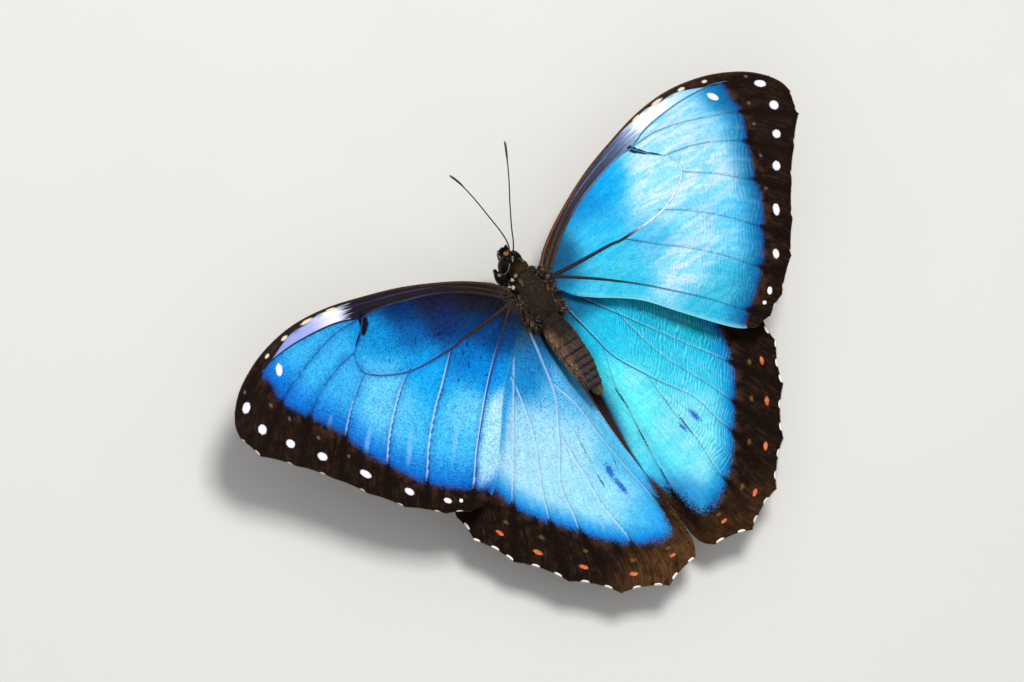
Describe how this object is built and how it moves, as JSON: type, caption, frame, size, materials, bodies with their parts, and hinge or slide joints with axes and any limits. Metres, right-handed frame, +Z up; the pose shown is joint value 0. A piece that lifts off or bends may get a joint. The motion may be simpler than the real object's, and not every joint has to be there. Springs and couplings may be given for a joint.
{
  "type": "blue morpho butterfly",
  "caption": "Life-size blue morpho butterfly standing with its wings spread flat, blue above with dark spotted borders, a still model without joints",
  "frame": {"origin": "middle of the bounding box in X and Y, on the floor under the feet", "axes": "+X to the butterfly's left, +Y towards its tail, +Z up; the head points along -Y"},
  "size_m": [0.1362, 0.0877, 0.0292],
  "materials": {
    "wing": "wing membrane covered with fine scales, metallic blue above with a dark brown border and white spots",
    "body": "short dense dark brown hair",
    "eye": "smooth glossy black compound eye",
    "leg": "thin dark brown shell with fine hair",
    "feeler": "thin black ringed feeler"
  },
  "bodies": {
    "root": {"forewing_left": "wing", "hindwing_left": "wing", "forewing_right": "wing", "hindwing_right": "wing", "thorax": "body", "abdomen": "body", "collar": "body", "head": "body", "eye_left": "eye", "palp_left": "body", "tegula_left": "body", "antenna_left": "feeler", "foreleg_left": "leg", "midleg_left_femur": "leg", "midleg_left_tibia": "leg", "midleg_left_tarsus": "leg", "hindleg_left_femur": "leg", "hindleg_left_tibia": "leg", "hindleg_left_tarsus": "leg", "eye_right": "eye", "palp_right": "body", "tegula_right": "body", "antenna_right": "feeler", "foreleg_right": "leg", "midleg_right_femur": "leg", "midleg_right_tibia": "leg", "midleg_right_tarsus": "leg", "hindleg_right_femur": "leg", "hindleg_right_tibia": "leg", "hindleg_right_tarsus": "leg", "proboscis": "feeler"}
  },
  "joints": []
}
